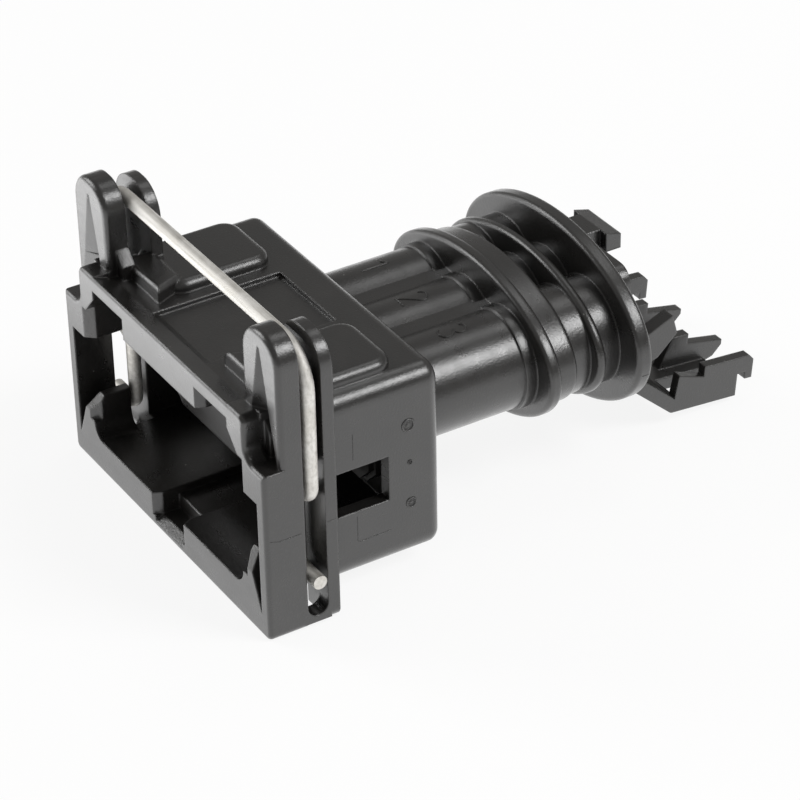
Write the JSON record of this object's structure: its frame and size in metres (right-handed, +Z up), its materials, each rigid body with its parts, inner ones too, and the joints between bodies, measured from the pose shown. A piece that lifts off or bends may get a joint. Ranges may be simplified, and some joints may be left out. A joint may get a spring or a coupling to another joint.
{
  "type": "sealed automotive connector",
  "caption": "Sealed automotive plug connector with a rectangular mouth, a spring wire latch, contact barrels, oval boot flanges and a hinged rear lock flap.",
  "frame": {"origin": "on the middle contact's axis, at the front face of the mouth", "axes": "X across the width, along the contact row; +Y from the mouth to the rear, along the contacts; +Z up, towards the latch wire's bar"},
  "size_m": [0.0282, 0.0439, 0.0221],
  "materials": {
    "black_plastic": "moulded glass-filled polyester, black, satin with fine grain",
    "latch_steel": "drawn round spring wire, bright with fine lengthwise streaks",
    "spring_steel": "rolled stainless sheet",
    "contact_brass": "rolled brass sheet, lightly dulled",
    "seal_rubber": "black silicone rubber, matt",
    "wire_seal_rubber": "brick red silicone rubber, matt"
  },
  "bodies": {
    "shell": {"housing": "black_plastic", "interface_seal": "seal_rubber", "contact_1": "contact_brass", "contact_2": "contact_brass", "contact_3": "contact_brass", "contact_spring_1": "spring_steel", "contact_spring_2": "spring_steel", "contact_spring_3": "spring_steel", "wire_seal_1": "wire_seal_rubber", "wire_seal_2": "wire_seal_rubber", "wire_seal_3": "wire_seal_rubber"},
    "latch": {"latch_wire": "latch_steel"},
    "rear_lock": {"rear_lock_flap": "black_plastic"}
  },
  "joints": [
    {"name": "latch_press", "type": "slide", "parent": "shell", "child": "latch", "axis": [0, 0, -1], "range_m": [0, 0.002], "stiffness_N_per_m": 6000},
    {"name": "rear_lock_hinge", "type": "hinge", "parent": "shell", "child": "rear_lock", "pos_m": [0, 0.0336, -0.0048], "axis": [1, 0, 0], "range_deg": [0, 95], "stiffness_Nm_per_rad": 0.01}
  ]
}
